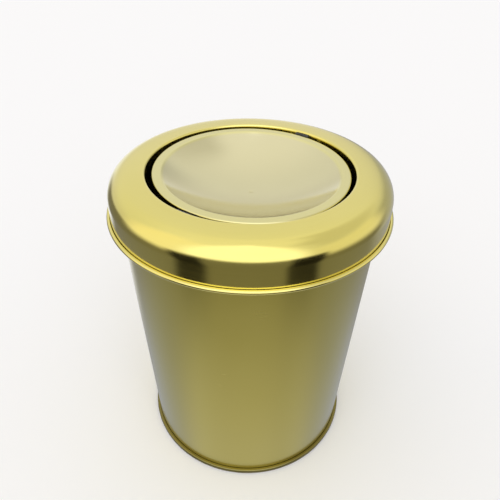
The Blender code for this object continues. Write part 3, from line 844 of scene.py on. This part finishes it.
# Soft-edged panels over it, later ones in front, in degrees. Each has its middle's azimuth (0 on the far
# side, growing to the right), half width and softness; low edge and softness; high edge and softness; colour.
PANELS = (
    # Cooler light low down on the far side, and lighter floor at both sides of the camera.
    ((0, 95, 50), (-95, 1), (-40, 12), (0.38, 0.40, 0.46)),
    ((-120, 16, 22), (-95, 1), (-52, 5), (0.58, 0.57, 0.50)),
    ((120, 16, 22), (-95, 1), (-52, 5), (0.52, 0.51, 0.44)),
    # Soft panels at the left and right, a duller one high at the right, and two on the far side.
    ((-106, 24, 12), (-8, 12), (62, 12), (1.10, 1.03, 0.90)),
    ((100, 34, 14), (-10, 12), (34, 10), (0.88, 0.84, 0.72)),
    ((78, 44, 14), (32, 8), (67, 8), (0.70, 0.68, 0.63)),
    ((42, 24, 10), (-34, 8), (24, 12), (0.44, 0.44, 0.44)),
    ((-14, 24, 8), (-42, 6), (10, 8), (0.94, 0.95, 1.00)),
    # The big soft light over the camera, and a dark gap at either side of it.
    ((-176, 46, 10), (5, 3), (100, 5), (1.42, 1.42, 1.50)),
    ((-133, 13, 5), (-43, 2), (-1, 3), (0.010, 0.009, 0.007)),
    ((137, 13, 4), (-43, 2), (3, 4), (0.010, 0.009, 0.007)),
)
BACKDROP = (0.98, 0.98, 0.98)  # what the camera itself sees behind the bin and the floor


def make_camera():
    data = bpy.data.cameras.new("camera")
    data.lens = LENS
    data.sensor_width = 36.0
    data.shift_y = VIEW_SHIFT
    data.clip_start = 0.01
    camera = bpy.data.objects.new("camera", data)
    camera.location = AWAY * -VIEW_DISTANCE + Vector((0, 0, VIEW_HEIGHT))
    forward = AWAY * math.cos(VIEW_PITCH) - Vector((0, 0, math.sin(VIEW_PITCH)))
    turn = forward.to_track_quat("-Z", "Y").to_matrix() @ Matrix.Rotation(VIEW_ROLL, 3, "Z")
    camera.rotation_euler = turn.to_euler()
    bpy.context.scene.collection.objects.link(camera)
    bpy.context.scene.camera = camera


def make_floor():
    builder = bmesh.new()
    bmesh.ops.create_circle(builder, cap_ends=True, segments=96, radius=FLOOR_R)
    mesh = bpy.data.meshes.new("floor")
    builder.to_mesh(mesh)
    builder.free()
    material, _, shader = new_material("floor")
    shader.inputs["Base Color"].default_value = (0.95, 0.955, 0.97, 1.0)
    shader.inputs["Roughness"].default_value = 0.9
    shader.inputs["Specular IOR Level"].default_value = 0.0
    mesh.materials.append(material)
    floor = bpy.data.objects.new("floor", mesh)
    floor.location.z = -FLOOR_GAP
    floor.visible_glossy = False
    floor.visible_shadow = False
    bpy.context.scene.collection.objects.link(floor)


class Studio:
    """A soft studio round every piece alike, painted by direction."""

    def __init__(self, tree):
        self.nodes = Nodes(tree)
        direction = self.nodes.add("ShaderNodeTexCoord").outputs["Generated"]
        self.direction = self.nodes.vector("NORMALIZE", direction)
        height = self.nodes.add("ShaderNodeSeparateXYZ", {0: self.direction}).outputs[2]
        self.elevation = self.nodes.math("MULTIPLY", self.nodes.math("ARCSINE", height), 180 / math.pi)

    def azimuth_from(self, centre):
        """How far the direction is to the side of this azimuth, in degrees."""
        angle = math.radians(centre)
        ahead = AWAY * math.cos(angle) + RIGHT * math.sin(angle)
        aside = RIGHT * math.cos(angle) - AWAY * math.sin(angle)
        y = self.nodes.vector("DOT_PRODUCT", self.direction, tuple(ahead), 1)
        x = self.nodes.vector("DOT_PRODUCT", self.direction, tuple(aside), 1)
        turn = self.nodes.math("ARCTAN2", x, y)
        return self.nodes.math("ABSOLUTE", self.nodes.math("MULTIPLY", turn, 180 / math.pi))

    def sweep(self):
        colour = rgba(SWEEP[0][1])
        for (low, _), (high, value) in zip(SWEEP, SWEEP[1:]):
            colour = self.nodes.mix(self.nodes.between(self.elevation, low, high), colour, rgba(value))
        return colour

    def with_panel(self, colour, across, low, high, paint):
        """Paints a soft-edged panel over the colour so far."""
        centre, half_width, softness = across
        away = self.azimuth_from(centre)
        mask = self.nodes.between(away, half_width + softness, half_width - softness)
        over = self.nodes.between(self.elevation, low[0] - low[1], low[0] + low[1])
        under = self.nodes.between(self.elevation, high[0] + high[1], high[0] - high[1])
        mask = self.nodes.math("MULTIPLY", self.nodes.math("MULTIPLY", mask, over), under)
        return self.nodes.mix(mask, colour, rgba(paint))


def make_world():
    world = bpy.data.worlds.new("studio")
    world.use_nodes = True
    tree = world.node_tree
    background = tree.nodes["Background"]
    studio = Studio(tree)
    colour = studio.sweep()
    for panel in PANELS:
        colour = studio.with_panel(colour, *panel)
    path = studio.nodes.add("ShaderNodeLightPath").outputs["Is Camera Ray"]
    tree.links.new(studio.nodes.mix(path, colour, rgba(BACKDROP)), background.inputs["Color"])
    bpy.context.scene.world = world


def main():
    bpy.context.scene.view_settings.view_transform = "Standard"
    satin_gold = lacquered_gold("satin_gold", (0.68, 0.585, 0.095), (0.80, 0.70, 0.18), 0.26, 1.0, 0.5)
    bright_gold = lacquered_gold("bright_gold", (0.79, 0.68, 0.145), (0.90, 0.80, 0.25), 0.16, 1.0)
    pale_gold = lacquered_gold(
        "pale_gold",
        (0.71, 0.66, 0.39),
        (0.81, 0.76, 0.49),
        0.15,
        0.3,
        rim=(RIM_START, RIM_START + 2.5, (0.81, 0.755, 0.37)),
    )
    # Darker gold lacquer for the base seam, made darker still as painted shade: this stands in for the shade
    # and the dark reflection of the ground at the foot.
    dark_gold = lacquered_gold("dark_gold", (0.18, 0.15, 0.03), (0.27, 0.23, 0.07), 0.30, 0.25)
    zinc = zinc_plate()
    nylon = moulded_nylon()

    make_body(satin_gold)
    make_rim_wire(zinc)
    make_base(dark_gold)
    make_lid(bright_gold)
    make_dish(pale_gold)
    make_strap(zinc)
    for side_name, side in (("right", 1), ("left", -1)):
        make_pin(side_name, side, zinc)
        make_clip(side_name, zinc)
        make_bush(side_name, side, nylon)
        make_plate(side_name, side, zinc)
    turns = [half_turn + sign * RIVET_ANGLE for half_turn in (0.0, math.pi) for sign in (-1, 1)]
    for index, turn in enumerate(turns, start=1):
        make_rivet(index, turn, zinc)

    make_floor()
    make_world()
    make_camera()


main()
